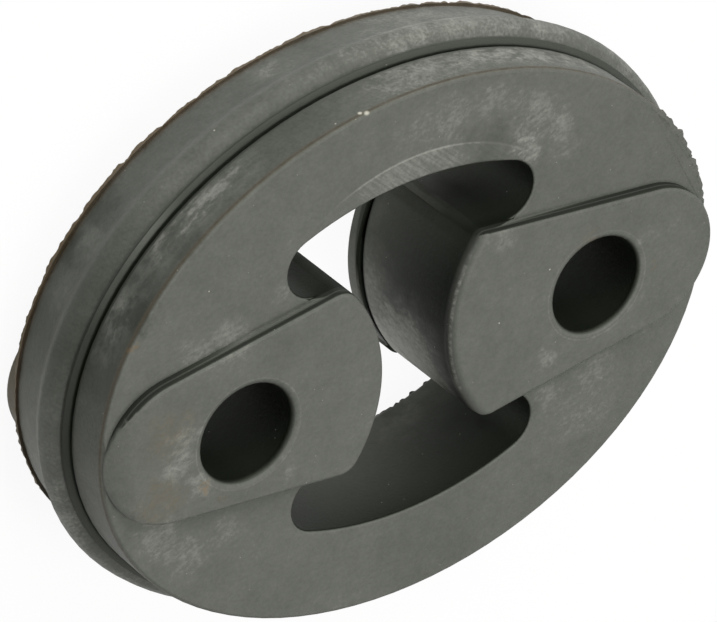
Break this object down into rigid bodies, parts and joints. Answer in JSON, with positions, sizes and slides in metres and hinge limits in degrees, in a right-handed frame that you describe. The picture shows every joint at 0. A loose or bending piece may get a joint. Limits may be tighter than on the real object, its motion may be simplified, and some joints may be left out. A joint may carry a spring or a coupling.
{
  "type": "exhaust hanger rubber",
  "caption": "Oval moulded rubber ring with a lug reaching in from each end, a pin bore through each lug, crescent cavities above and below, and a bead round the outside.",
  "frame": {"origin": "centre of the bounding box's bottom face, where the piece rests on its two rear pads", "axes": "+X runs along the line of the two bores, +Y across it in the plane of the oval, and +Z out of the front face, along the bores' axes"},
  "size_m": [0.0732, 0.0592, 0.0165],
  "materials": {
    "rubber": "dull dark grey moulded rubber with pale bloom"
  },
  "bodies": {
    "root": {"hanger_rubber": "rubber"}
  },
  "joints": []
}
